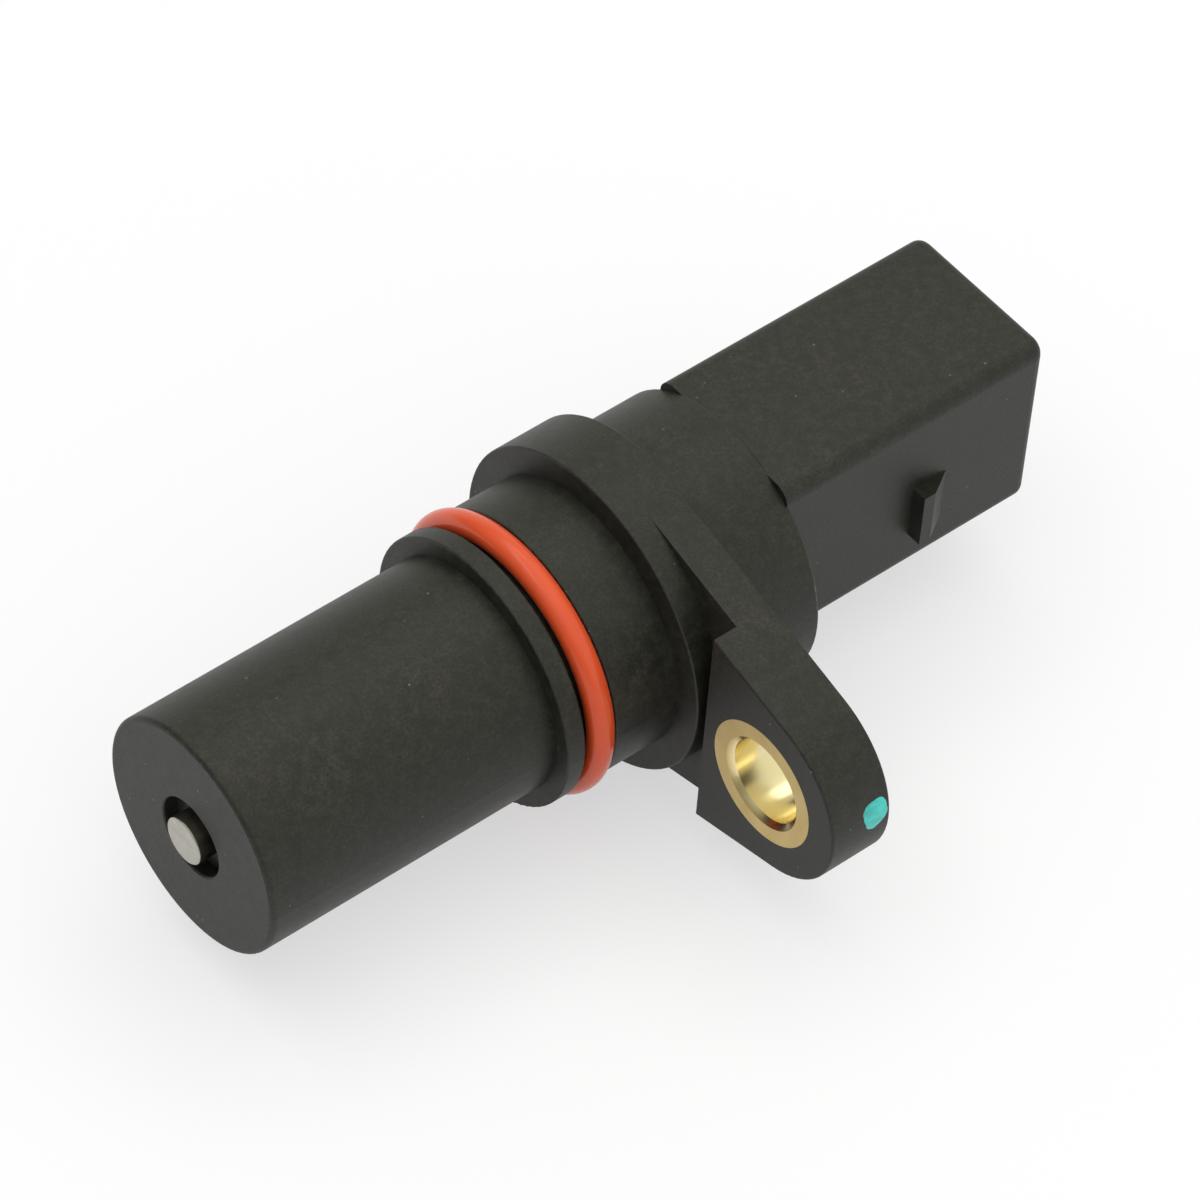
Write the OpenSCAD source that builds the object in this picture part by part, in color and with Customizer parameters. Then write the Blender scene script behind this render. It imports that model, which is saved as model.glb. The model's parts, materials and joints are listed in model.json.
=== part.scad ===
// Inductive crankshaft position sensor: a coil, magnet and pole piece overmoulded in one plastic housing,
// with a seal ring, a brass bush for the fixing screw and three blades in a connector shroud.
// +X runs along the sensing axis towards the tip, +Y towards the fixing screw, and +Z is up.
// The origin is on the sensing axis, in the seat plane where the flange meets the engine block.

/* [Nose] */
// Diameter of the sensing nose
nose_d = 18; // [16:0.1:20]
// Seat plane to the tip face
tip_reach = 33.6; // [30:0.1:42]
// Rounding of the tip's outer edge
tip_edge_r = 0.4; // [0.1:0.05:0.8]
// Diameter of the recess around the pole piece
recess_d = 6.1; // [5:0.1:8]
// Depth of that recess
recess_depth = 1.2; // [0.6:0.1:2]
// Rounding of the recess's mouth
recess_edge_r = 0.15; // [0.1:0.05:0.6]
// Plastic between the recess and the coil former
tip_wall = 1; // [0.6:0.1:2]

/* [Pilot and seal] */
// Diameter of the pilot and of the land in front of the seal ring
pilot_d = 20.8; // [19:0.1:23]
// Length of the pilot, from the seat plane to the ring's groove
pilot_len = 5.4; // [3:0.05:8]
// Width of the ring's groove
groove_w = 2.65; // [2.4:0.05:4]
// Width of the land in front of the groove
land_w = 1.55; // [1:0.05:3]
// Rounding of the edges of the pilot and the land
pilot_edge_r = 0.15; // [0.1:0.05:0.5]
// Thickness of the seal ring's round section
ring_section = 2; // [1.8:0.1:2.6]
// How far the ring stands out of the pilot
ring_proud = 0.525; // [0.2:0.025:0.8]

/* [Flange] */
// Radial width of the seat round the pilot
seat_w = 2.1; // [1.5:0.1:4]
// Thickness of the flange at the collar and at the screw pad
flange_t = 5.1; // [4:0.1:8]
// How far the web between collar and pad lies behind the seat plane
web_recess = 2; // [1:0.1:3]
// Sensing axis to the screw's axis
screw_offset = 19.3; // [18:0.1:26]
// Plastic round the bush at the end of the lug
lug_wall = 2.4; // [1.5:0.1:4]
// How far the lug's sides lie inside the collar's outside
lug_inset = 0.03; // [0.01:0.01:0.5]
// Plastic between the bush and the pad's inner edge
pad_margin = 1; // [0.6:0.1:2]
// Rounding of the collar's edges
collar_edge_r = 0.15; // [0.1:0.05:0.6]
// Rounding of the lug's edges
lug_edge_r = 0.2; // [0.1:0.05:0.6]

/* [Bush] */
// Outer diameter of the bush
bush_od = 10; // [9:0.1:12]
// Bore of the bush
bush_bore = 6.5; // [5:0.1:7]
// Chamfer at both ends of the bore
bore_chamfer = 0.4; // [0.1:0.05:0.6]
// Chamfer round the outside of both ends
bush_chamfer = 0.1; // [0.05:0.05:0.5]
// Width of the holding groove round the bush
bush_groove_w = 1.4; // [0.8:0.1:2]
// Depth of that groove
bush_groove_depth = 0.4; // [0.2:0.05:0.6]

/* [Rear body] */
// Diameter of the round body behind the flange
rear_d = 22; // [18:0.1:26]
// Length of the round body behind the flange
rear_len = 7.1; // [4:0.1:12]
// Rounding of its rear edge
rear_edge_r = 0.3; // [0.1:0.05:0.6]

/* [Connector shroud] */
// Inside of the socket across, in the direction of the lug
socket_w = 10.4; // [9:0.1:14]
// Inside of the socket from bottom to top
socket_h = 12.8; // [11:0.1:18]
// Depth of the socket
socket_depth = 16; // [12:0.5:20]
// Wall of the shroud
shroud_wall = 1.6; // [1.2:0.1:2.5]
// Round body to the shroud's open end
shroud_len = 23.45; // [22:0.05:32]
// Height of the shroud's middle above the sensing axis
shroud_lift = 2; // [0:0.1:3]
// Rounding of the shroud's four long edges
shroud_edge_r = 1.3; // [0.8:0.1:1.8]
// Rounding round the open end
shroud_rim_r = 0.9; // [0.3:0.1:1]
// Rounding of the socket's inner corners
socket_corner_r = 0.6; // [0.2:0.1:1]
// How far the shroud's front starts inside the round body's end
shroud_bite = 0.2; // [0.05:0.05:1]

/* [Locking nose] */
// Open end to the face that the plug catches on
latch_back = 11.45; // [8:0.05:14]
// Length of the locking nose, from that face to the foot of its ramp
latch_len = 2.95; // [2:0.05:4]
// Flat top of the locking nose
latch_crest = 1; // [0.5:0.1:1.5]
// Height of the locking nose above the shroud
latch_h = 1.2; // [0.6:0.1:2]
// Width of the locking nose
latch_w = 4.8; // [3:0.1:7]

/* [Terminals] */
// Width of a blade
blade_w = 1.5; // [1:0.1:2]
// Thickness of a blade
blade_t = 0.8; // [0.5:0.1:1]
// Middle to middle of neighbouring blades
blade_pitch = 3.8; // [3:0.1:4.5]
// How far a blade stands out of the socket's floor
blade_len = 9.5; // [7:0.5:11]
// Length of a blade's tapered end
blade_taper = 1; // [0.5:0.1:2]
// Width of a blade's very end
blade_end_w = 0.7; // [0.4:0.1:0.9]
// Width of the leg that meets the coil's lead
leg_w = 1.5; // [1:0.1:2.5]
// How far the leg passes the lead's middle
leg_over = 0.35; // [0.2:0.05:0.6]

/* [Sensing core] */
// Diameter of the pole piece
pole_d = 3.6; // [3:0.1:4.5]
// How far the pole piece stands out of the tip face
pole_proud = 0.6; // [0.1:0.1:1]
// Rounding of the pole piece's front edge
pole_edge_r = 0.1; // [0.05:0.05:0.4]
// Thickness of the pole piece's head
pole_head_t = 1.2; // [0.8:0.1:3]
// Diameter of the magnet and of the pole piece's head
magnet_d = 8; // [6:0.1:9]
// Length of the magnet
magnet_len = 7; // [4:0.1:9]
// Wall of the coil former's hub
hub_wall = 0.9; // [0.6:0.1:1.2]
// Depth of the winding
winding_depth = 3.7; // [2:0.1:4]
// Length of the winding
winding_len = 17; // [12:0.5:19]
// Thickness of the tape over the winding
tape_t = 0.2; // [0.1:0.05:0.4]
// How far the former's end flanges stand above the tape
flange_lip = 0.3; // [0.2:0.1:0.6]
// Thickness of the former's front flange
front_flange_t = 1; // [0.6:0.1:2]
// Wall between the winding and the magnet's pocket
pocket_wall = 2.2; // [1:0.1:3]
// Diameter of the coil's two leads
lead_d = 0.5; // [0.3:0.05:0.6]
// How far the lead lies inside the winding's outside
lead_inset = 0.05; // [0.05:0.05:0.5]
// Length of the terminal carrier's boss in the magnet's pocket
boss_len = 2; // [1:0.1:4]
// Length of the terminal carrier behind the coil former
carrier_len = 5; // [3:0.1:7]
// Gap at every face where one piece is moulded or pressed round another
fit_gap = 0.02; // [0.01:0.005:0.05]

/* [Hidden] */
$fn = 96;
// Extra length of a cut beyond the face that it opens
past = 1;
// Depth to which the locking nose and a lead run into what carries them
root = 0.4;

// The seal's groove and ring, which rests against the groove's wall on the pilot's side
ring_at = pilot_len + fit_gap + ring_section / 2;
pilot_reach = pilot_len + groove_w + land_w;
ring_od = pilot_d + 2 * ring_proud;
groove_floor_d = ring_od - 2 * ring_section - 2 * fit_gap;

// The flange's lug, whose sides are tangents of its round end and of a circle just inside the collar
collar_d = pilot_d + 2 * seat_w;
lug_r = bush_od / 2 + lug_wall;
lug_root_r = collar_d / 2 - lug_inset;
lug_lean = asin((lug_root_r - lug_r) / screw_offset);
pad_edge = screw_offset - bush_od / 2 - pad_margin;

// Places along the sensing axis behind the seat plane
rear_end = -flange_t - rear_len;
shroud_end = rear_end - shroud_len;
socket_floor = shroud_end + socket_depth;
blade_tip = socket_floor - blade_len;
latch_at = shroud_end + latch_back;

// Outside of the shroud
shroud_w = socket_w + 2 * shroud_wall;
shroud_h = socket_h + 2 * shroud_wall;

// The sensing core, stacked back from the tip
pole_end = tip_reach + pole_proud;
former_front = tip_reach - recess_depth - tip_wall;
winding_front = former_front - front_flange_t;
winding_rear = winding_front - winding_len;
pocket_front = winding_rear - pocket_wall;
magnet_front = pocket_front - pole_head_t;
magnet_rear = magnet_front - magnet_len;
former_rear = magnet_rear - boss_len;
carrier_rear = former_rear - carrier_len;

// Diameters of the sensing core
hub_d = pole_d + 2 * hub_wall;
winding_d = hub_d + 2 * winding_depth;
tape_d = winding_d + 2 * tape_t;
former_d = tape_d + 2 * flange_lip;
pocket_d = magnet_d + 2 * fit_gap;
lead_at = winding_d / 2 - lead_inset - lead_d / 2;

// Heights of the blades and of the leads that their legs meet; the middle blade has no lead
blade_heights = [for (i = [-1:1]) shroud_lift + i * blade_pitch];

// Turns a shape drawn with x towards the screw, y up and z along the sensing axis into the part's frame.
module along_x() {
    rotate([90, 0, 90]) children();
}

// Half section of a turned disc from z = from to z = to, with its two edges rounded.
module disc_section(d, from, to, from_r, to_r) {
    translate([0, from + from_r])
        square([d / 2, to - to_r - from - from_r]);
    for (edge = [[from, from + from_r, from_r], [to - to_r, to - to_r, to_r]])
        if (edge[2] > 0) {
            translate([0, edge[0]])
                square([d / 2 - edge[2], edge[2]]);
            intersection() {
                translate([d / 2 - edge[2], edge[1]])
                    circle(r = edge[2]);
                translate([d / 2 - edge[2], edge[0]])
                    square(edge[2]);
            }
        }
}

module disc(d, from, to, from_r = 0, to_r = 0) {
    rotate_extrude()
        disc_section(d, from, to, from_r, to_r);
}

// Plain cylinder between two places along the sensing axis.
module rod(d, from, to) {
    translate([0, 0, from])
        cylinder(d = d, h = to - from);
}

// Rectangle centred on x, from y = from to y = to, with its two corners at from rounded.
module rounded_end(w, from, to, r) {
    translate([-w / 2, from + r])
        square([w, to - from - r]);
    translate([r - w / 2, from])
        square([w - 2 * r, 2 * r]);
    for (side = [-1, 1])
        translate([side * (w / 2 - r), from + r])
            circle(r = r);
}

// Rectangle with rounded corners, centred on the origin.
module rounded_rectangle(w, h, r) {
    square([w - 2 * r, h], center = true);
    square([w, h - 2 * r], center = true);
    for (x = [-1, 1], y = [-1, 1])
        translate([x * (w / 2 - r), y * (h / 2 - r)])
            circle(r = r);
}

// Half of the lug, on one side of its middle plane: a straight side and a part of the round end, drawn in one
// frame whose x runs from the screw's axis to the point where the two meet.
module half_lug() {
    intersection() {
        translate([screw_offset, 0, 0])
            rotate([0, 0, 90 - lug_lean]) {
                rotate([0, 0, -90])
                    rotate_extrude(angle = 90) lug_section();
                translate([0, screw_offset, 0])
                    rotate([90, 0, 0])
                        linear_extrude(screw_offset) {
                            lug_section();
                            translate([-screw_offset, -flange_t])
                                square([screw_offset + lug_r / 2, flange_t]);
                        }
            }
        translate([0, 0, -flange_t - past])
            cube([screw_offset + collar_d, collar_d, flange_t + 2 * past]);
    }
}

// Section of the lug from the screw's axis to its outside.
module lug_section() {
    disc_section(2 * lug_r, -flange_t, 0, lug_edge_r, lug_edge_r);
}

// Tapered lug of the flange: full thickness at the screw's pad, with its front cut back at the web.
module lug() {
    difference() {
        union() {
            half_lug();
            mirror([0, 1, 0]) half_lug();
        }
        translate([0, -collar_d, -web_recess])
            cube([pad_edge, 2 * collar_d, web_recess + past]);
    }
}

// Solid block of the connector, from its rounded open end to inside the round body.
module shroud_block() {
    front = rear_end + shroud_bite;
    corner_x = shroud_w / 2 - shroud_edge_r;
    corner_y = shroud_h / 2 - shroud_edge_r;
    translate([0, shroud_lift, 0]) {
        rotate([90, 0, 90])
            linear_extrude(2 * corner_x, center = true)
                rounded_end(shroud_h, shroud_end, front, shroud_rim_r);
        rotate([90, 0, 0])
            linear_extrude(2 * corner_y, center = true)
                rounded_end(shroud_w, shroud_end, front, shroud_rim_r);
        for (x = [-1, 1], y = [-1, 1])
            translate([x * corner_x, y * corner_y, 0])
                disc(2 * shroud_edge_r, shroud_end, front, shroud_rim_r, 0);
    }
}

// Wedge on the shroud's side facing the screw, with its catch face towards the tip.
module locking_nose() {
    face = shroud_w / 2;
    rotate([90, 0, 0])
        linear_extrude(latch_w, center = true)
            polygon([[face - root, latch_at], [face + latch_h, latch_at],
                     [face + latch_h, latch_at - latch_crest], [face, latch_at - latch_len],
                     [face - root, latch_at - latch_len]]);
}

module socket_space() {
    translate([0, shroud_lift, shroud_end - past])
        linear_extrude(socket_depth + past)
            rounded_rectangle(socket_w, socket_h, socket_corner_r);
}

// The bush's form, or with a gap the space that the housing leaves for it.
module bush_form(gap) {
    r = bush_od / 2 + gap;
    groove_r = r - bush_groove_depth;
    groove_half = bush_groove_w / 2 - gap;
    middle = -flange_t / 2;
    translate([screw_offset, 0, 0])
        rotate_extrude()
            polygon([[0, -flange_t], [r - bush_chamfer, -flange_t], [r, bush_chamfer - flange_t],
                     [r, middle - groove_half], [groove_r, middle - groove_half],
                     [groove_r, middle + groove_half], [r, middle + groove_half],
                     [r, -bush_chamfer], [r - bush_chamfer, 0], [0, 0]]);
}

// A terminal's form, or with a gap the space that carrier and housing leave for it.
// The leg reaches from the blade to the lead's height and stands flush with the carrier's front.
module terminal_form(height, lead_height, gap) {
    half = blade_w / 2 + gap;
    end_half = blade_end_w / 2 + gap;
    has_lead = lead_height != 0;
    leg_end = lead_height + sign(lead_height) * leg_over;
    low = min(height - blade_w / 2, leg_end) - gap;
    high = max(height + blade_w / 2, leg_end) + gap;
    front = has_lead ? former_rear : former_rear - leg_w;
    rotate([90, 0, 90])
        linear_extrude(blade_t + 2 * gap, center = true) {
            polygon([[height - half, front + gap], [height - half, blade_tip + blade_taper],
                     [height - end_half, blade_tip - gap], [height + end_half, blade_tip - gap],
                     [height + half, blade_tip + blade_taper], [height + half, front + gap]]);
            if (has_lead)
                translate([low, front - leg_w - gap])
                    square([high - low, leg_w + 2 * gap]);
        }
}

// Every terminal at its place: return below, shield in the middle, signal on top.
module terminal(index, gap = 0) {
    terminal_form(blade_heights[index], (index - 1) * lead_at, gap);
}

// Recess round the pole piece, with its mouth rounded.
module recess_space() {
    mouth_r = recess_d / 2 + recess_edge_r;
    rod(recess_d, tip_reach - recess_depth, tip_reach + past);
    rotate_extrude()
        difference() {
            translate([0, tip_reach - recess_edge_r])
                square([mouth_r, recess_edge_r + past]);
            translate([mouth_r, tip_reach - recess_edge_r])
                circle(r = recess_edge_r);
        }
}

// Space that the housing leaves for the coil, the magnet and the terminals.
module core_space() {
    rod(former_d + 2 * fit_gap, carrier_rear - fit_gap, winding_rear + fit_gap);
    rod(tape_d + 2 * fit_gap, winding_rear, winding_front);
    rod(former_d + 2 * fit_gap, winding_front - fit_gap, former_front + fit_gap);
    rod(pole_d + 2 * fit_gap, former_front, tip_reach + past);
    recess_space();
    for (index = [0:2])
        terminal(index, fit_gap);
}

module housing() {
    color("#2e2e2d") along_x()
        difference() {
            union() {
                disc(nose_d, pilot_reach - land_w / 2, tip_reach, 0, tip_edge_r);
                disc(pilot_d, pilot_reach - land_w, pilot_reach, pilot_edge_r, pilot_edge_r);
                rod(groove_floor_d, 0, pilot_reach - land_w / 2);
                disc(pilot_d, -flange_t, pilot_len, 0, pilot_edge_r);
                disc(collar_d, -flange_t, 0, collar_edge_r, collar_edge_r);
                lug();
                disc(rear_d, rear_end, -flange_t / 2, rear_edge_r, 0);
                shroud_block();
                locking_nose();
            }
            socket_space();
            bush_form(fit_gap);
            core_space();
        }
}

module o_ring() {
    color("#d4552c") along_x()
        translate([0, 0, ring_at])
            rotate_extrude()
                translate([(ring_od - ring_section) / 2, 0])
                    circle(d = ring_section);
}

module mounting_bush() {
    color("#c8a55a") along_x()
        difference() {
            bush_form(0);
            translate([screw_offset, 0, 0]) {
                rod(bush_bore, -flange_t - past, past);
                for (end = [0, 1])
                    translate([0, 0, -end * flange_t])
                        mirror([0, 0, 1 - end])
                            cylinder(d1 = bush_bore + 2 * bore_chamfer, d2 = bush_bore, h = bore_chamfer);
            }
        }
}

module pole_piece() {
    color("#8d8d88") along_x() {
        disc(pole_d, magnet_front, pole_end, 0, pole_edge_r);
        rod(magnet_d, magnet_front, pocket_front);
    }
}

module permanent_magnet() {
    color("#5c5e61") along_x()
        rod(magnet_d, magnet_rear, magnet_front);
}

// Moulded former: hub, two flanges and a pocket for the magnet, with a groove along it for each lead.
module coil_former() {
    groove_floor = lead_at - lead_d / 2 - fit_gap;
    color("#d8d2c0") along_x()
        difference() {
            union() {
                rod(former_d, former_rear, winding_rear);
                rod(hub_d, former_rear, former_front);
                rod(former_d, winding_front, former_front);
            }
            rod(pole_d + 2 * fit_gap, former_rear, former_front + past);
            rod(pocket_d, former_rear - past, pocket_front);
            for (side = [-1, 1])
                translate([-lead_d / 2 - fit_gap, side * (groove_floor + former_d / 2) - former_d / 2,
                           former_rear - past])
                    cube([lead_d + 2 * fit_gap, former_d, winding_rear - former_rear + past]);
        }
}

// Enamelled wire on the former, with its start and finish led back to the terminals.
module coil_winding() {
    color("#a8582e") along_x() {
        difference() {
            rod(winding_d, winding_rear, winding_front);
            rod(hub_d + 2 * fit_gap, winding_rear - past, winding_front + past);
        }
        for (side = [-1, 1])
            translate([0, side * lead_at, 0])
                rod(lead_d, former_rear, winding_rear + root);
    }
}

module coil_tape() {
    color("#c9a441") along_x()
        difference() {
            rod(tape_d, winding_rear, winding_front);
            rod(winding_d + 2 * fit_gap, winding_rear - past, winding_front + past);
        }
}

// Plug that closes the magnet's pocket and holds the terminals while the housing is moulded.
module terminal_carrier() {
    color("#3a4a44") along_x()
        difference() {
            union() {
                rod(former_d, carrier_rear, former_rear);
                rod(magnet_d, carrier_rear, magnet_rear);
            }
            for (index = [0:2])
                terminal(index, fit_gap);
        }
}

module return_terminal() {
    color("#c9c7c0") along_x() terminal(0);
}

module shield_terminal() {
    color("#c9c7c0") along_x() terminal(1);
}

module signal_terminal() {
    color("#c9c7c0") along_x() terminal(2);
}

housing();
o_ring();
mounting_bush();
pole_piece();
permanent_magnet();
coil_former();
coil_winding();
coil_tape();
terminal_carrier();
return_terminal();
shield_terminal();
signal_terminal();
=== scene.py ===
"""Finishes the pieces of a crankshaft position sensor and stages it for a product picture.

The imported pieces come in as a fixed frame, in metres: +X runs along the sensing axis towards the tip, +Y
towards the fixing screw and +Z is up. Each operator dresses one piece or one group of like pieces, and the
last one sets up the floor, the light and the camera.
"""

import json
import math
import random

import bmesh
import bpy
from mathutils import Euler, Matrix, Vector


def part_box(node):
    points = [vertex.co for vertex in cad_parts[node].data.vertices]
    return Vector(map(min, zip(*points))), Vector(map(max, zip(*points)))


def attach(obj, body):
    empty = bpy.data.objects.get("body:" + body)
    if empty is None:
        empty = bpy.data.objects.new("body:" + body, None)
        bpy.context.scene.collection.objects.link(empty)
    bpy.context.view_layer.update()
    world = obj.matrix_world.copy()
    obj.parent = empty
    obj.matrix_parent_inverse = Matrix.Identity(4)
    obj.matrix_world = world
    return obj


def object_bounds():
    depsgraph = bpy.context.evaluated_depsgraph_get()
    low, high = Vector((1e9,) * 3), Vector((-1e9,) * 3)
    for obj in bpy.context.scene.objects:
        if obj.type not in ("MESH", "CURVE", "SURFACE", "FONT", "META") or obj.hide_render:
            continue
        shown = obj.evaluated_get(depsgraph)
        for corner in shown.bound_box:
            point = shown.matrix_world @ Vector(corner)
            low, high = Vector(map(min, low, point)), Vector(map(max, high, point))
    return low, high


bl_info = {
    "name": "Crankshaft Position Sensor",
    "version": (1, 0, 0),
    "blender": (4, 5, 0),
    "location": "View3D > Sidebar > Sensor",
    "description": "Finishes the pieces of a crankshaft position sensor and stages it for a picture",
    "category": "Object",
}

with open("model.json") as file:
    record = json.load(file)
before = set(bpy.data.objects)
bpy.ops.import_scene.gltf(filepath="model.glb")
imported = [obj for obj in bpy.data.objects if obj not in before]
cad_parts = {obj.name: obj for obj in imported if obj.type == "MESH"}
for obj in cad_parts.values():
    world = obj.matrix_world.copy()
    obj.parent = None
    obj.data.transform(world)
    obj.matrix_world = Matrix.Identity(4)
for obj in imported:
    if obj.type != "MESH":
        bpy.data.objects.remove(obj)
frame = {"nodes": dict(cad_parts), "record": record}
CAD_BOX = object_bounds()
NODES = frame["nodes"]
MOUNTS = {mount["name"]: mount for mount in frame["record"]["mounts"]}
SCREW_AXIS = Vector(MOUNTS["screw_bush"]["pos_m"])
MM = 0.001


def linear(colour):
    """An sRGB hex colour as linear red, green and blue, with full alpha."""
    parts = [int(colour[i:i + 2], 16) / 255 for i in (1, 3, 5)]
    return [c / 12.92 if c <= 0.04045 else ((c + 0.055) / 1.055) ** 2.4 for c in parts] + [1.0]


def per_mm(size):
    """Scale of a pattern whose features are that many millimetres across, on coordinates in metres."""
    return 1 / (size * MM)


def waves_per_mm(spacing):
    """Scale of a wave texture whose crests are that many millimetres apart, on coordinates in metres."""
    radians_per_metre = 20
    return per_mm(spacing) * math.tau / radians_per_metre


def node(tree, kind, inputs=None, **settings):
    """Adds a shader node with its settings and links.

    An input is named, or numbered where names repeat. It gets a plain value, an output socket, or a node,
    of which it takes the first output in use.
    """
    new = tree.nodes.new("ShaderNode" + kind)
    for name, value in settings.items():
        setattr(new, name, value)
    for key, value in (inputs or {}).items():
        named = [socket for socket in new.inputs if socket.name == key and socket.enabled]
        socket = named[0] if named else new.inputs[key]
        if isinstance(value, bpy.types.Node):
            value = next(output for output in value.outputs if output.enabled)
        if isinstance(value, bpy.types.NodeSocket):
            tree.links.new(value, socket)
        else:
            socket.default_value = value
    return new


def new_material(name):
    """An empty node material and its tree."""
    material = bpy.data.materials.new(name)
    material.use_nodes = True
    material.node_tree.nodes.clear()
    return material, material.node_tree


def dress(piece, material):
    """Gives a piece one material in all its slots."""
    piece.data.materials.clear()
    piece.data.materials.append(material)


class FinishSettings(bpy.types.PropertyGroup):
    """Colours of the materials that show."""

    housing: bpy.props.FloatVectorProperty(
        name="Housing", description="Black of the moulded housing",
        default=linear("#1a1a16"), size=4, subtype="COLOR", min=0.0, max=1.0)
    housing_bloom: bpy.props.FloatVectorProperty(
        name="Housing bloom", description="Paler mottle where the glass fibres lie near the surface",
        default=linear("#2f2e29"), size=4, subtype="COLOR", min=0.0, max=1.0)
    dust: bpy.props.FloatVectorProperty(
        name="Dust", description="Pale specks and thin haze on the housing",
        default=linear("#6e6c65"), size=4, subtype="COLOR", min=0.0, max=1.0)
    seal: bpy.props.FloatVectorProperty(
        name="Seal", description="Orange-red of the seal ring",
        default=linear("#e65a32"), size=4, subtype="COLOR", min=0.0, max=1.0)
    seal_deep: bpy.props.FloatVectorProperty(
        name="Seal, deep", description="Deeper red in the seal ring's patches",
        default=linear("#da4d2b"), size=4, subtype="COLOR", min=0.0, max=1.0)
    bush_bore: bpy.props.FloatVectorProperty(
        name="Bush bore", description="Bright brass of the reamed bore",
        default=linear("#e9dbad"), size=4, subtype="COLOR", min=0.0, max=1.0)
    bush_face: bpy.props.FloatVectorProperty(
        name="Bush face", description="Dulled brass of the bush's ends",
        default=linear("#d6c287"), size=4, subtype="COLOR", min=0.0, max=1.0)
    bush_stain: bpy.props.FloatVectorProperty(
        name="Bush stain", description="Browner patches on the bush's ends",
        default=linear("#b8995c"), size=4, subtype="COLOR", min=0.0, max=1.0)
    pole: bpy.props.FloatVectorProperty(
        name="Pole", description="Bright iron of the pole piece's end",
        default=linear("#b8b5aa"), size=4, subtype="COLOR", min=0.0, max=1.0)
    pole_dull: bpy.props.FloatVectorProperty(
        name="Pole, dull", description="Duller patches on the pole piece's end",
        default=linear("#a5a39a"), size=4, subtype="COLOR", min=0.0, max=1.0)
    pole_side: bpy.props.FloatVectorProperty(
        name="Pole side", description="Darker iron of the pole piece's sides",
        default=linear("#86827a"), size=4, subtype="COLOR", min=0.0, max=1.0)
    plating: bpy.props.FloatVectorProperty(
        name="Plating", description="Tin on the connector's blades",
        default=linear("#d3d1ca"), size=4, subtype="COLOR", min=0.0, max=1.0)
    plating_line: bpy.props.FloatVectorProperty(
        name="Plating line", description="Darker lines along the blades",
        default=linear("#b7b4ab"), size=4, subtype="COLOR", min=0.0, max=1.0)
    paint: bpy.props.FloatVectorProperty(
        name="Paint", description="Teal of the marking paint",
        default=linear("#46dadb"), size=4, subtype="COLOR", min=0.0, max=1.0)
    paint_thin: bpy.props.FloatVectorProperty(
        name="Paint, thin", description="Darker teal where the paint is thin",
        default=linear("#2bb3b0"), size=4, subtype="COLOR", min=0.0, max=1.0)


class CoreSettings(bpy.types.PropertyGroup):
    """Colours of the materials inside the housing."""

    magnet: bpy.props.FloatVectorProperty(
        name="Magnet", description="Dark grey of the magnet alloy",
        default=linear("#65676a"), size=4, subtype="COLOR", min=0.0, max=1.0)
    magnet_grain: bpy.props.FloatVectorProperty(
        name="Magnet grain", description="Paler grains in the magnet alloy",
        default=linear("#8b8d92"), size=4, subtype="COLOR", min=0.0, max=1.0)
    former: bpy.props.FloatVectorProperty(
        name="Former", description="Cream of the coil former",
        default=linear("#ddd5c0"), size=4, subtype="COLOR", min=0.0, max=1.0)
    former_deep: bpy.props.FloatVectorProperty(
        name="Former, deep", description="Deeper cream in the coil former's patches",
        default=linear("#c9c0a6"), size=4, subtype="COLOR", min=0.0, max=1.0)
    wire_gap: bpy.props.FloatVectorProperty(
        name="Wire gap", description="Brown between the turns of the coil's wire",
        default=linear("#8a3f1c"), size=4, subtype="COLOR", min=0.0, max=1.0)
    wire: bpy.props.FloatVectorProperty(
        name="Wire", description="Red-brown of the coil's wire",
        default=linear("#c4713f"), size=4, subtype="COLOR", min=0.0, max=1.0)
    film: bpy.props.FloatVectorProperty(
        name="Film", description="Amber of the film over the coil",
        default=linear("#cc912a"), size=4, subtype="COLOR", min=0.0, max=1.0)
    film_deep: bpy.props.FloatVectorProperty(
        name="Film, deep", description="Deeper amber in the film's wrinkles",
        default=linear("#a86f16"), size=4, subtype="COLOR", min=0.0, max=1.0)
    carrier: bpy.props.FloatVectorProperty(
        name="Carrier", description="Dark green of the terminal carrier",
        default=linear("#34443d"), size=4, subtype="COLOR", min=0.0, max=1.0)
    carrier_pale: bpy.props.FloatVectorProperty(
        name="Carrier, pale", description="Paler green in the terminal carrier's mottle",
        default=linear("#42534b"), size=4, subtype="COLOR", min=0.0, max=1.0)


class MarkSettings(bpy.types.PropertyGroup):
    """Place and size of the dab of marking paint on the lug's round end."""

    angle: bpy.props.FloatProperty(
        name="Angle", description="Middle of the dab round the screw's axis, up from the lug's end",
        default=math.radians(9.5), subtype="ANGLE")
    behind_seat: bpy.props.FloatProperty(
        name="Behind seat", description="Middle of the dab behind the seat plane",
        default=3.8 * MM, unit="LENGTH")
    along: bpy.props.FloatProperty(
        name="Along", description="Length of the dab along the sensing axis",
        default=2.25 * MM, unit="LENGTH")
    around: bpy.props.FloatProperty(
        name="Around", description="Length of the dab round the lug's end",
        default=2.5 * MM, unit="LENGTH")
    thickness: bpy.props.FloatProperty(
        name="Thickness", description="Height of the paint film over the plastic",
        default=0.03 * MM, unit="LENGTH")


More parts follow.
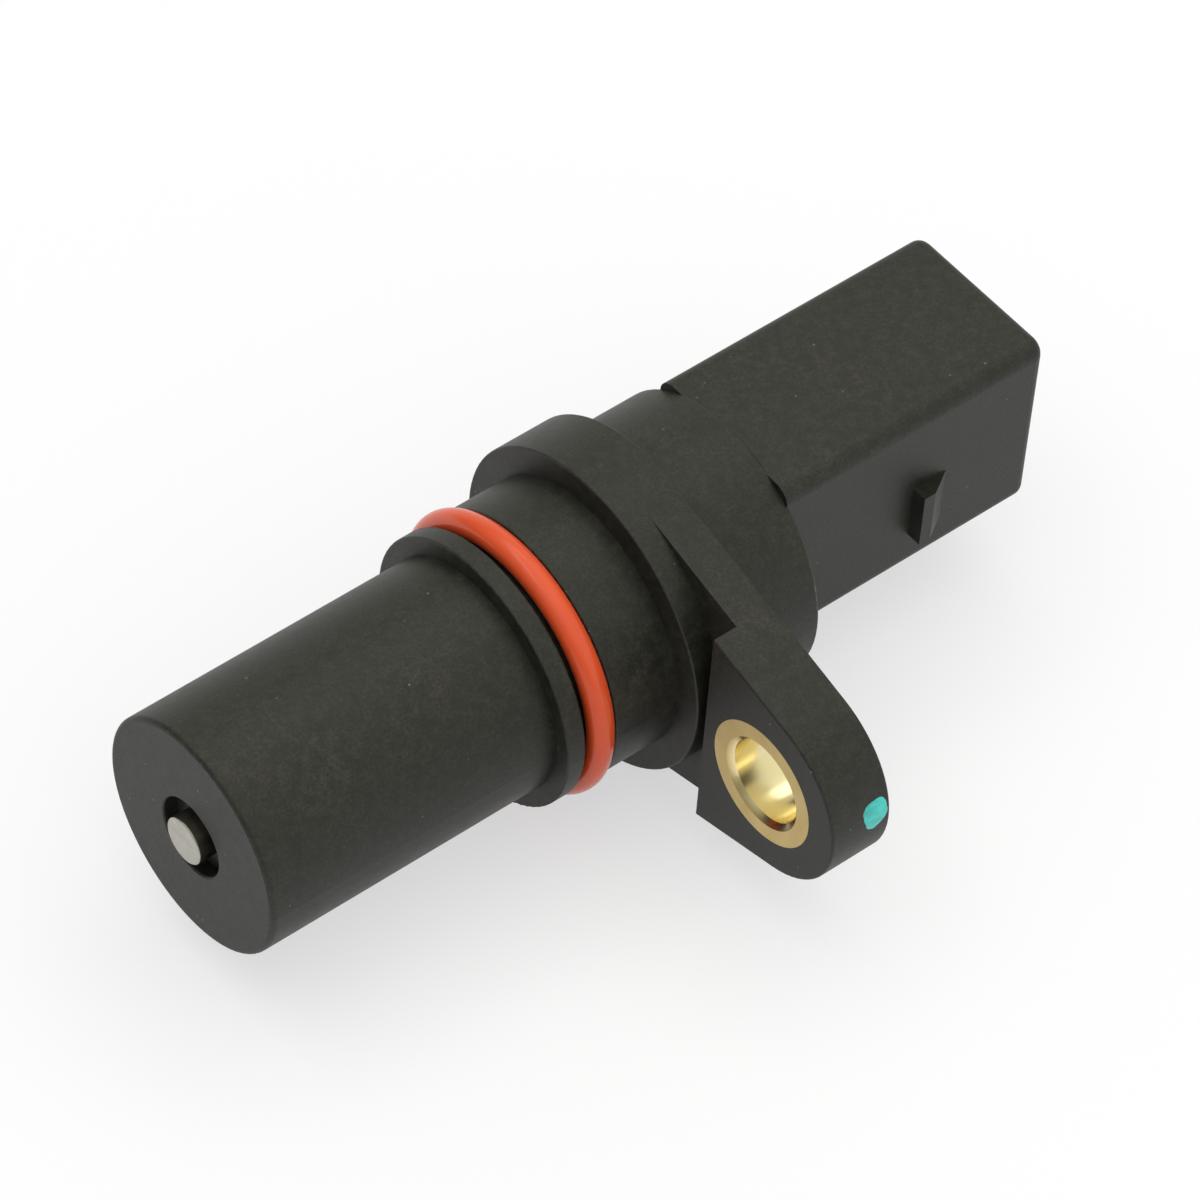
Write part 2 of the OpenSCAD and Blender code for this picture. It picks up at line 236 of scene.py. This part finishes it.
class StageSettings(bpy.types.PropertyGroup):
    """Camera, floor and light of the picture."""

    azimuth: bpy.props.FloatProperty(
        name="Azimuth", description="Camera's bearing, from +X towards +Y",
        default=math.radians(47.22), subtype="ANGLE")
    elevation: bpy.props.FloatProperty(
        name="Elevation", description="Camera's height above the horizon",
        default=math.radians(49.23), subtype="ANGLE")
    roll: bpy.props.FloatProperty(
        name="Roll", description="Camera's turn about its own line of sight",
        default=math.radians(4.73), subtype="ANGLE")
    distance: bpy.props.FloatProperty(
        name="Distance", description="Camera to the point that it looks at",
        default=0.47835, unit="LENGTH")
    target: bpy.props.FloatVectorProperty(
        name="Target", description="Point that the camera looks at",
        default=(-0.58 * MM, 1.2 * MM, 1.7 * MM), subtype="XYZ", unit="LENGTH")
    lens: bpy.props.FloatProperty(
        name="Lens", description="Focal length on a 36 mm sensor",
        default=209.28, subtype="DISTANCE_CAMERA")
    floor_size: bpy.props.FloatProperty(
        name="Floor", description="Width of the floor",
        default=4.0, unit="LENGTH")
    floor_paper: bpy.props.FloatVectorProperty(
        name="Floor paper", description="Paper that throws light back at the sensor",
        default=linear("#d8d8d8"), size=4, subtype="COLOR", min=0.0, max=1.0)
    floor_seen: bpy.props.FloatVectorProperty(
        name="Floor seen", description="Paper that the eye sees, a little blue against the warm light",
        default=linear("#ababb4"), size=4, subtype="COLOR", min=0.0, max=1.0)
    floor_glow: bpy.props.FloatProperty(
        name="Floor glow", description="Light added to the paper that the eye sees, so that it shows white",
        default=0.575, min=0.0)
    light_colour: bpy.props.FloatVectorProperty(
        name="Light", description="Warm white of the lamp and the tent",
        default=linear("#fffff2"), size=4, subtype="COLOR", min=0.0, max=1.0)
    lamp_size: bpy.props.FloatProperty(
        name="Lamp size", description="Width of the soft lamp overhead",
        default=0.8, unit="LENGTH")
    lamp_height: bpy.props.FloatProperty(
        name="Lamp height", description="Soft lamp above the sensing axis",
        default=0.8, unit="LENGTH")
    lamp_power: bpy.props.FloatProperty(
        name="Lamp power", description="Power of the soft lamp",
        default=0.9, unit="POWER")
    roof_light: bpy.props.FloatProperty(
        name="Roof light", description="Brightness of the tent overhead",
        default=0.88, min=0.0)
    front_light: bpy.props.FloatProperty(
        name="Front light", description="Brightness of the tent low down, round the front",
        default=0.28, min=0.0)
    strip_light: bpy.props.FloatProperty(
        name="Strip light", description="Brightness that the strip lamp adds to the tent's roof",
        default=1.5, min=0.0)
    back_light: bpy.props.FloatProperty(
        name="Back light", description="Brightness of the tent's wall behind the sensor",
        default=0.88, min=0.0)
    side_light: bpy.props.FloatProperty(
        name="Side light", description="Brightness of the tent's wall on the screw side",
        default=1.0, min=0.0)


def moulded_polyamide(look):
    """Black glass-filled polyamide, injection moulded.

    A matt black with a fine, faintly mottled skin, a thin pale haze in broad patches and a few specks of
    dust.
    """
    material, tree = new_material("moulded_glass_filled_polyamide")
    place = node(tree, "TexCoord").outputs["Object"]
    patches = node(tree, "TexNoise", {"Vector": place, "Scale": per_mm(8), "Detail": 3.0})
    mottle = node(tree, "TexNoise", {"Vector": place, "Scale": per_mm(0.9), "Detail": 4.0})
    # The skin of fibres and resin is finer than a pixel here, so it is drawn coarser, at 0.22 mm.
    skin = node(tree, "TexNoise", {"Vector": place, "Scale": per_mm(0.22), "Detail": 2.0})
    bloom = node(tree, "Math", {0: mottle, 1: skin}, operation="MULTIPLY")
    bloom = node(tree, "MapRange", {"Value": bloom, "From Min": 0.15, "From Max": 0.45})
    colour = node(tree, "Mix", {"Factor": bloom, "A": look.housing, "B": look.housing_bloom},
                  data_type="RGBA")
    broad = node(tree, "MapRange", {"Value": patches, "From Min": 0.5, "From Max": 0.8, "To Max": 0.1})
    haze = node(tree, "Math", {0: broad, 1: bloom}, operation="MULTIPLY")
    colour = node(tree, "Mix", {"Factor": haze, "A": colour, "B": look.dust}, data_type="RGBA")
    # Each cell has one speck at its middle, which shows only in the cells with a high draw.
    cells = node(tree, "TexVoronoi", {"Vector": place, "Scale": per_mm(1.4)})
    speck = node(tree, "MapRange", {"Value": cells, "From Min": 0.04, "From Max": 0.08,
                                    "To Min": 1.0, "To Max": 0.0})
    draw = node(tree, "SeparateColor", {"Color": cells.outputs["Color"]})
    strength = node(tree, "MapRange", {"Value": draw, "From Min": 0.7, "From Max": 1.0, "To Max": 0.8})
    dust = node(tree, "Math", {0: speck, 1: strength}, operation="MULTIPLY")
    colour = node(tree, "Mix", {"Factor": dust, "A": colour, "B": look.dust}, data_type="RGBA")
    rough = node(tree, "MapRange", {"Value": mottle, "From Min": 0.3, "From Max": 0.7,
                                    "To Min": 0.46, "To Max": 0.54})
    bump = node(tree, "Bump", {"Height": skin, "Strength": 0.5, "Distance": 0.02 * MM})
    shader = node(tree, "BsdfPrincipled", {"Base Color": colour, "Roughness": rough, "IOR": 1.5,
                                           "Specular IOR Level": 0.38, "Normal": bump})
    node(tree, "OutputMaterial", {"Surface": shader})
    return material


def silicone_rubber(look):
    """Orange-red silicone rubber, moulded: a smooth satin with soft pale highlights."""
    material, tree = new_material("moulded_silicone_rubber")
    place = node(tree, "TexCoord").outputs["Object"]
    patches = node(tree, "TexNoise", {"Vector": place, "Scale": per_mm(2.5), "Detail": 2.0})
    skin = node(tree, "TexNoise", {"Vector": place, "Scale": per_mm(0.35), "Detail": 2.0})
    colour = node(tree, "Mix", {"Factor": patches, "A": look.seal, "B": look.seal_deep}, data_type="RGBA")
    bump = node(tree, "Bump", {"Height": skin, "Strength": 0.12, "Distance": 0.01 * MM})
    shader = node(tree, "BsdfPrincipled", {"Base Color": colour, "Roughness": 0.22, "IOR": 1.43,
                                           "Normal": bump})
    node(tree, "OutputMaterial", {"Surface": shader})
    return material


def turned_brass(look):
    """Brass, faced on a lathe and reamed: dulled satin ends with fine rings, and a bright bore."""
    material, tree = new_material("turned_brass")
    place = node(tree, "TexCoord").outputs["Object"]
    shift = node(tree, "VectorMath", {0: place, 1: SCREW_AXIS}, operation="SUBTRACT")
    across = node(tree, "VectorMath", {0: shift, 1: (0, 1, 1)}, operation="MULTIPLY")
    radius = node(tree, "VectorMath", {0: across}, operation="LENGTH")
    # The bright bore gives way to the dulled end just outside the bore's own radius.
    bore = MOUNTS["screw_bush"]["dims"]["r_mm"] * MM
    face = node(tree, "MapRange", {"Value": radius, "From Min": bore * 1.01, "From Max": bore * 1.12})
    # The tool's feed marks are about 0.05 mm apart, drawn at 0.3 mm so that they show.
    rings = node(tree, "TexWave", {"Vector": shift, "Scale": waves_per_mm(0.3), "Distortion": 0.6,
                                   "Detail": 1.0}, wave_type="RINGS", rings_direction="X")
    patches = node(tree, "TexNoise", {"Vector": place, "Scale": per_mm(2.5), "Detail": 3.0})
    dull = node(tree, "Mix", {"Factor": patches, "A": look.bush_face, "B": look.bush_stain},
                data_type="RGBA")
    colour = node(tree, "Mix", {"Factor": face, "A": look.bush_bore, "B": dull}, data_type="RGBA")
    rough = node(tree, "MapRange", {"Value": face, "To Min": 0.2, "To Max": 0.34})
    bump = node(tree, "Bump", {"Height": rings.outputs["Fac"], "Strength": face, "Distance": 0.0012 * MM})
    shader = node(tree, "BsdfPrincipled", {"Base Color": colour, "Metallic": 1.0, "Roughness": rough,
                                           "Normal": bump})
    node(tree, "OutputMaterial", {"Surface": shader})
    return material


def turned_iron(look):
    """Soft iron, faced on a lathe: a bright grey end with faint rings, and darker sides behind the end."""
    material, tree = new_material("turned_soft_iron")
    place = node(tree, "TexCoord").outputs["Object"]
    # The tool's feed marks are about 0.05 mm apart, drawn at 0.3 mm so that they show.
    rings = node(tree, "TexWave", {"Vector": place, "Scale": waves_per_mm(0.3), "Distortion": 0.8,
                                   "Detail": 1.0}, wave_type="RINGS", rings_direction="X")
    patches = node(tree, "TexNoise", {"Vector": place, "Scale": per_mm(0.7), "Detail": 3.0})
    colour = node(tree, "Mix", {"Factor": patches, "A": look.pole, "B": look.pole_dull}, data_type="RGBA")
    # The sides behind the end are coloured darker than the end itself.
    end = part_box("pole_piece")[1].x
    along = node(tree, "SeparateXYZ", {0: place})
    bright = node(tree, "MapRange", {"Value": along, "From Min": end - 0.1 * MM,
                                     "From Max": end - 0.04 * MM})
    colour = node(tree, "Mix", {"Factor": bright, "A": look.pole_side, "B": colour}, data_type="RGBA")
    rough = node(tree, "MapRange", {"Value": patches, "From Min": 0.3, "From Max": 0.7,
                                    "To Min": 0.3, "To Max": 0.42})
    bump = node(tree, "Bump", {"Height": rings.outputs["Fac"], "Strength": 0.2, "Distance": 0.004 * MM})
    shader = node(tree, "BsdfPrincipled", {"Base Color": colour, "Metallic": 1.0, "Roughness": rough,
                                           "Normal": bump})
    node(tree, "OutputMaterial", {"Surface": shader})
    return material


def cast_magnet(core):
    """Cast and ground magnet alloy: a dull dark grey with a coarse grain."""
    material, tree = new_material("cast_magnet_alloy")
    place = node(tree, "TexCoord").outputs["Object"]
    grain = node(tree, "TexNoise", {"Vector": place, "Scale": per_mm(0.4), "Detail": 4.0})
    colour = node(tree, "Mix", {"Factor": grain, "A": core.magnet, "B": core.magnet_grain},
                  data_type="RGBA")
    bump = node(tree, "Bump", {"Height": grain, "Strength": 0.3, "Distance": 0.02 * MM})
    shader = node(tree, "BsdfPrincipled", {"Base Color": colour, "Metallic": 1.0, "Roughness": 0.5,
                                           "Normal": bump})
    node(tree, "OutputMaterial", {"Surface": shader})
    return material


def natural_polyamide(core):
    """Uncoloured polyamide, injection moulded: a waxy cream with a soft gloss."""
    material, tree = new_material("moulded_natural_polyamide")
    place = node(tree, "TexCoord").outputs["Object"]
    patches = node(tree, "TexNoise", {"Vector": place, "Scale": per_mm(3), "Detail": 2.0})
    colour = node(tree, "Mix", {"Factor": patches, "A": core.former, "B": core.former_deep},
                  data_type="RGBA")
    rough = node(tree, "MapRange", {"Value": patches, "From Min": 0.3, "From Max": 0.7,
                                    "To Min": 0.38, "To Max": 0.5})
    shader = node(tree, "BsdfPrincipled", {"Base Color": colour, "Roughness": rough, "IOR": 1.53})
    node(tree, "OutputMaterial", {"Surface": shader})
    return material


def enamelled_copper(core):
    """Enamelled copper wire, close wound: fine ridges round the coil under a clear red-brown varnish."""
    material, tree = new_material("enamelled_copper_wire")
    place = node(tree, "TexCoord").outputs["Object"]
    # The wire is about 0.1 mm thick, drawn at 0.2 mm so that its turns show.
    turns = node(tree, "TexWave", {"Vector": place, "Scale": waves_per_mm(0.2), "Distortion": 0.4},
                 wave_type="BANDS", bands_direction="X").outputs["Fac"]
    colour = node(tree, "Mix", {"Factor": turns, "A": core.wire_gap, "B": core.wire}, data_type="RGBA")
    bump = node(tree, "Bump", {"Height": turns, "Strength": 0.6, "Distance": 0.05 * MM})
    shader = node(tree, "BsdfPrincipled", {"Base Color": colour, "Metallic": 1.0, "Roughness": 0.3,
                                           "Coat Weight": 0.6, "Coat Roughness": 0.15, "Normal": bump})
    node(tree, "OutputMaterial", {"Surface": shader})
    return material


def polyimide_film(core):
    """Polyimide film, wound over the coil: a glossy amber with a wrinkle here and there."""
    material, tree = new_material("polyimide_film")
    place = node(tree, "TexCoord").outputs["Object"]
    wrinkle = node(tree, "TexNoise", {"Vector": place, "Scale": per_mm(2), "Detail": 3.0})
    colour = node(tree, "Mix", {"Factor": wrinkle, "A": core.film, "B": core.film_deep}, data_type="RGBA")
    bump = node(tree, "Bump", {"Height": wrinkle, "Strength": 0.3, "Distance": 0.05 * MM})
    shader = node(tree, "BsdfPrincipled", {"Base Color": colour, "Roughness": 0.22, "IOR": 1.7,
                                           "Normal": bump})
    node(tree, "OutputMaterial", {"Surface": shader})
    return material


def carrier_polyamide(core):
    """Dark green glass-filled polyamide, injection moulded: matt, with a fine mottled skin."""
    material, tree = new_material("moulded_green_polyamide")
    place = node(tree, "TexCoord").outputs["Object"]
    skin = node(tree, "TexNoise", {"Vector": place, "Scale": per_mm(0.4), "Detail": 3.0})
    colour = node(tree, "Mix", {"Factor": skin, "A": core.carrier, "B": core.carrier_pale},
                  data_type="RGBA")
    bump = node(tree, "Bump", {"Height": skin, "Strength": 0.3, "Distance": 0.01 * MM})
    shader = node(tree, "BsdfPrincipled", {"Base Color": colour, "Roughness": 0.5, "IOR": 1.53,
                                           "Normal": bump})
    node(tree, "OutputMaterial", {"Surface": shader})
    return material


def tinned_brass(look):
    """Tin-plated brass, stamped from strip: a soft grey shine with fine lines along the blade."""
    material, tree = new_material("tin_plated_brass")
    place = node(tree, "TexCoord").outputs["Object"]
    drawn_out = node(tree, "Mapping", {"Vector": place, "Scale": (0.05, 1.0, 1.0)})
    lines = node(tree, "TexNoise", {"Vector": drawn_out, "Scale": per_mm(0.12), "Detail": 2.0})
    colour = node(tree, "Mix", {"Factor": lines, "A": look.plating, "B": look.plating_line},
                  data_type="RGBA")
    rough = node(tree, "MapRange", {"Value": lines, "From Min": 0.3, "From Max": 0.7,
                                    "To Min": 0.25, "To Max": 0.36})
    bump = node(tree, "Bump", {"Height": lines, "Strength": 0.25, "Distance": 0.005 * MM})
    shader = node(tree, "BsdfPrincipled", {"Base Color": colour, "Metallic": 1.0, "Roughness": rough,
                                           "Normal": bump})
    node(tree, "OutputMaterial", {"Surface": shader})
    return material


def marking_paint(look):
    """Marking paint, dabbed on with a felt tip: a thin teal film, streaked and uneven."""
    material, tree = new_material("teal_marking_paint")
    place = node(tree, "TexCoord").outputs["Object"]
    brushed = node(tree, "Mapping", {"Vector": place, "Scale": (0.4, 1.0, 1.0)})
    streaks = node(tree, "TexNoise", {"Vector": brushed, "Scale": per_mm(0.5), "Detail": 2.0})
    thin = node(tree, "MapRange", {"Value": streaks, "From Min": 0.38, "From Max": 0.72})
    colour = node(tree, "Mix", {"Factor": thin, "A": look.paint, "B": look.paint_thin}, data_type="RGBA")
    bump = node(tree, "Bump", {"Height": streaks, "Strength": 0.4, "Distance": 0.02 * MM})
    shader = node(tree, "BsdfPrincipled", {"Base Color": colour, "Roughness": 0.3, "Normal": bump})
    node(tree, "OutputMaterial", {"Surface": shader})
    return material


class SENSOR_OT_finish_housing(bpy.types.Operator):
    """Give the moulded housing its black plastic"""

    bl_idname = "sensor.finish_housing"
    bl_label = "Finish Housing"

    def execute(self, context):
        dress(NODES["housing"], moulded_polyamide(context.scene.sensor_finish))
        return {"FINISHED"}


class SENSOR_OT_finish_seal(bpy.types.Operator):
    """Give the seal ring its silicone rubber"""

    bl_idname = "sensor.finish_seal"
    bl_label = "Finish Seal Ring"

    def execute(self, context):
        dress(NODES["o_ring"], silicone_rubber(context.scene.sensor_finish))
        return {"FINISHED"}


class SENSOR_OT_finish_bush(bpy.types.Operator):
    """Give the screw's bush its turned brass"""

    bl_idname = "sensor.finish_bush"
    bl_label = "Finish Screw Bush"

    def execute(self, context):
        dress(NODES["mounting_bush"], turned_brass(context.scene.sensor_finish))
        return {"FINISHED"}


class SENSOR_OT_finish_core(bpy.types.Operator):
    """Give the pole piece, the magnet and the coil inside the housing their materials"""

    bl_idname = "sensor.finish_core"
    bl_label = "Finish Sensing Core"

    def execute(self, context):
        core = context.scene.sensor_core
        dress(NODES["pole_piece"], turned_iron(context.scene.sensor_finish))
        dress(NODES["permanent_magnet"], cast_magnet(core))
        dress(NODES["coil_former"], natural_polyamide(core))
        dress(NODES["coil_winding"], enamelled_copper(core))
        dress(NODES["coil_tape"], polyimide_film(core))
        dress(NODES["terminal_carrier"], carrier_polyamide(core))
        return {"FINISHED"}


class SENSOR_OT_finish_terminals(bpy.types.Operator):
    """Give the connector's blades their tin plating"""

    bl_idname = "sensor.finish_terminals"
    bl_label = "Finish Terminals"

    def execute(self, context):
        plating = tinned_brass(context.scene.sensor_finish)
        for name in ("return_terminal", "shield_terminal", "signal_terminal"):
            dress(NODES[name], plating)
        return {"FINISHED"}


class SENSOR_OT_add_paint_mark(bpy.types.Operator):
    """Dab marking paint on the round end of the lug"""

    bl_idname = "sensor.add_paint_mark"
    bl_label = "Add Paint Mark"

    # The film's mesh: rings from its middle to its rim, and sides round it.
    rings = 14
    sides = 48
    # The uneven rim: how many waves run round it, and the least and most that each adds to the reach.
    seed = 5
    wave_counts = (2, 3, 4, 5)
    wave_least = 0.02
    wave_most = 0.06
    # The rim falls by this share of the thickness, so it dips into the plastic.
    rim_fall = 1.3
    rim_steepness = 6

    def execute(self, context):
        mark = context.scene.sensor_mark
        lug_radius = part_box("housing")[1].y - SCREW_AXIS.y
        wobble = random.Random(self.seed)
        waves = [(count, wobble.uniform(self.wave_least, self.wave_most), wobble.uniform(0, math.tau))
                 for count in self.wave_counts]

        def point(share, turn):
            """A point of the film, at a share of the way from its middle to its rim."""
            reach = 1 + sum(size * math.sin(count * turn + phase) for count, size, phase in waves)
            along = share * reach * mark.along / 2 * math.cos(turn)
            around = share * reach * mark.around / 2 * math.sin(turn)
            angle = mark.angle + around / lug_radius
            radius = lug_radius + mark.thickness * (1 - self.rim_fall * share ** self.rim_steepness)
            # The film flattens where it would stand past the lug's end.
            out = min(radius * math.cos(angle), lug_radius)
            up = radius * math.sin(angle)
            return Vector((along - mark.behind_seat, SCREW_AXIS.y + out, SCREW_AXIS.z + up))

        mesh = bmesh.new()
        middle = mesh.verts.new(point(0, 0))
        rows = [[mesh.verts.new(point(i / self.rings, math.tau * j / self.sides))
                 for j in range(self.sides)] for i in range(1, self.rings + 1)]
        for j in range(self.sides):
            after = (j + 1) % self.sides
            mesh.faces.new((middle, rows[0][j], rows[0][after]))
            for inner, outer in zip(rows, rows[1:]):
                mesh.faces.new((inner[j], outer[j], outer[after], inner[after]))
        bmesh.ops.recalc_face_normals(mesh, faces=mesh.faces)
        data = bpy.data.meshes.new("paint_mark")
        mesh.to_mesh(data)
        mesh.free()
        data.shade_smooth()
        piece = bpy.data.objects.new("paint_mark", data)
        context.scene.collection.objects.link(piece)
        dress(piece, marking_paint(context.scene.sensor_finish))
        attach(piece, "root")
        return {"FINISHED"}


class SENSOR_OT_build_stage(bpy.types.Operator):
    """Set up the floor, the light and the camera"""

    bl_idname = "sensor.build_stage"
    bl_label = "Build Stage"

    def execute(self, context):
        scene = context.scene
        stage = scene.sensor_stage
        scene.view_settings.view_transform = "Standard"
        self.lay_floor(scene, stage)
        self.hang_lamp(scene, stage)
        self.pitch_tent(scene, stage)
        self.place_camera(scene, stage)
        return {"FINISHED"}

    def lay_floor(self, scene, stage):
        """Paper floor under the sensor, white to the eye and in reflections, with a light shadow."""
        half = stage.floor_size / 2
        z = CAD_BOX[0].z
        data = bpy.data.meshes.new("floor")
        corners = [(-half, -half, z), (half, -half, z), (half, half, z), (-half, half, z)]
        data.from_pydata(corners, [], [(0, 1, 2, 3)])
        floor = bpy.data.objects.new("floor", data)
        scene.collection.objects.link(floor)
        material, tree = new_material("matt_white_floor")
        paper = node(tree, "BsdfDiffuse", {"Color": stage.floor_paper})
        shaded = node(tree, "BsdfDiffuse", {"Color": stage.floor_seen})
        glow = node(tree, "Emission", {"Color": linear("#ffffff"), "Strength": stage.floor_glow})
        lit = node(tree, "AddShader", {0: shaded, 1: glow})
        path = node(tree, "LightPath").outputs
        seen = node(tree, "Math", {0: path["Is Camera Ray"], 1: path["Is Glossy Ray"]}, operation="MAXIMUM")
        seen = node(tree, "Math", {0: seen, 1: path["Is Transmission Ray"]}, operation="MAXIMUM")
        mix = node(tree, "MixShader", {0: seen, 1: paper, 2: lit})
        node(tree, "OutputMaterial", {"Surface": mix})
        data.materials.append(material)

    def hang_lamp(self, scene, stage):
        """Soft square lamp straight above the sensor."""
        lamp = bpy.data.lights.new("overhead_softbox", "AREA")
        lamp.shape = "SQUARE"
        lamp.size = stage.lamp_size
        lamp.energy = stage.lamp_power
        lamp.color = stage.light_colour[:3]
        softbox = bpy.data.objects.new("overhead_softbox", lamp)
        softbox.location = (0, 0, stage.lamp_height)
        scene.collection.objects.link(softbox)

    def pitch_tent(self, scene, stage):
        """Tent of light, bright overhead, behind and on the screw side, and dim round the front."""
        world = bpy.data.worlds.new("light_tent")
        scene.world = world
        world.use_nodes = True
        tree = world.node_tree
        tree.nodes.clear()
        direction = node(tree, "TexCoord").outputs["Generated"]
        axes = node(tree, "SeparateXYZ", {0: direction}).outputs
        # The roof brightens upwards, and by about a third towards the screw side.
        roof = node(tree, "MapRange", {"Value": axes["Z"], "From Min": 0.3, "From Max": 0.75,
                                       "To Min": stage.front_light, "To Max": stage.roof_light},
                    interpolation_type="SMOOTHSTEP")
        lean = node(tree, "Math", {0: axes["Y"], 1: 0.35, 2: 1.0}, operation="MULTIPLY_ADD")
        roof = node(tree, "Math", {0: roof, 1: lean}, operation="MULTIPLY")
        # The strip lamp lies high in the roof, on the side away from the screw.
        strip = node(tree, "Math", {0: axes["Z"], 1: 0.85, 2: 0.06}, operation="COMPARE")
        far = node(tree, "MapRange", {"Value": axes["Y"], "From Min": 0.1, "From Max": 0.0})
        strip = node(tree, "Math", {0: strip, 1: far}, operation="MULTIPLY")
        level = node(tree, "Math", {0: strip, 1: stage.strip_light, 2: roof}, operation="MULTIPLY_ADD")
        # Each wall fades out round the direction of its middle, from the cosine given with it.
        walls = [((-0.68, -0.73, 0), 0.5, stage.back_light),
                 ((-0.46, 0.82, 0.34), 0.55, stage.side_light)]
        for middle, edge, brightness in walls:
            towards = node(tree, "VectorMath", {0: direction, 1: middle}, operation="DOT_PRODUCT")
            wall = node(tree, "MapRange", {"Value": towards, "From Min": edge, "From Max": 0.85,
                                           "To Max": brightness})
            level = node(tree, "Math", {0: level, 1: wall}, operation="MAXIMUM")
        tent = node(tree, "Background", {"Color": stage.light_colour, "Strength": level})
        node(tree, "OutputWorld", {"Surface": tent})

    def place_camera(self, scene, stage):
        """Camera at the picture's viewing angle, turned a little about its line of sight."""
        data = bpy.data.cameras.new("camera")
        data.sensor_width = 36.0
        data.lens = stage.lens
        data.clip_start = 0.01
        flat = math.cos(stage.elevation)
        towards = Vector((flat * math.cos(stage.azimuth), flat * math.sin(stage.azimuth),
                          math.sin(stage.elevation)))
        camera = bpy.data.objects.new("camera", data)
        camera.location = Vector(stage.target) + stage.distance * towards
        look = (-towards).to_track_quat("-Z", "Y")
        camera.rotation_euler = (look @ Euler((0, 0, stage.roll)).to_quaternion()).to_euler()
        scene.collection.objects.link(camera)
        scene.camera = camera


STEPS = (
    SENSOR_OT_finish_housing,
    SENSOR_OT_finish_seal,
    SENSOR_OT_finish_bush,
    SENSOR_OT_finish_core,
    SENSOR_OT_finish_terminals,
    SENSOR_OT_add_paint_mark,
    SENSOR_OT_build_stage,
)


class SENSOR_PT_sidebar(bpy.types.Panel):
    """Lists the steps that finish and stage the sensor, and their settings"""

    bl_idname = "SENSOR_PT_sidebar"
    bl_label = "Position Sensor"
    bl_space_type = "VIEW_3D"
    bl_region_type = "UI"
    bl_category = "Sensor"

    def draw(self, context):
        for step in STEPS:
            self.layout.operator(step.bl_idname)
        for name, group in GROUPS.items():
            box = self.layout.box()
            for setting in group.__annotations__:
                box.prop(getattr(context.scene, name), setting)


GROUPS = {
    "sensor_finish": FinishSettings,
    "sensor_core": CoreSettings,
    "sensor_mark": MarkSettings,
    "sensor_stage": StageSettings,
}
CLASSES = (*GROUPS.values(), *STEPS, SENSOR_PT_sidebar)


def register():
    for cls in CLASSES:
        bpy.utils.register_class(cls)
    for name, group in GROUPS.items():
        setattr(bpy.types.Scene, name, bpy.props.PointerProperty(type=group))


def unregister():
    for name in GROUPS:
        delattr(bpy.types.Scene, name)
    for cls in reversed(CLASSES):
        bpy.utils.unregister_class(cls)


def main():
    register()
    for step in STEPS:
        group, name = step.bl_idname.split(".")
        getattr(getattr(bpy.ops, group), name)()


if __name__ == "__main__":
    main()
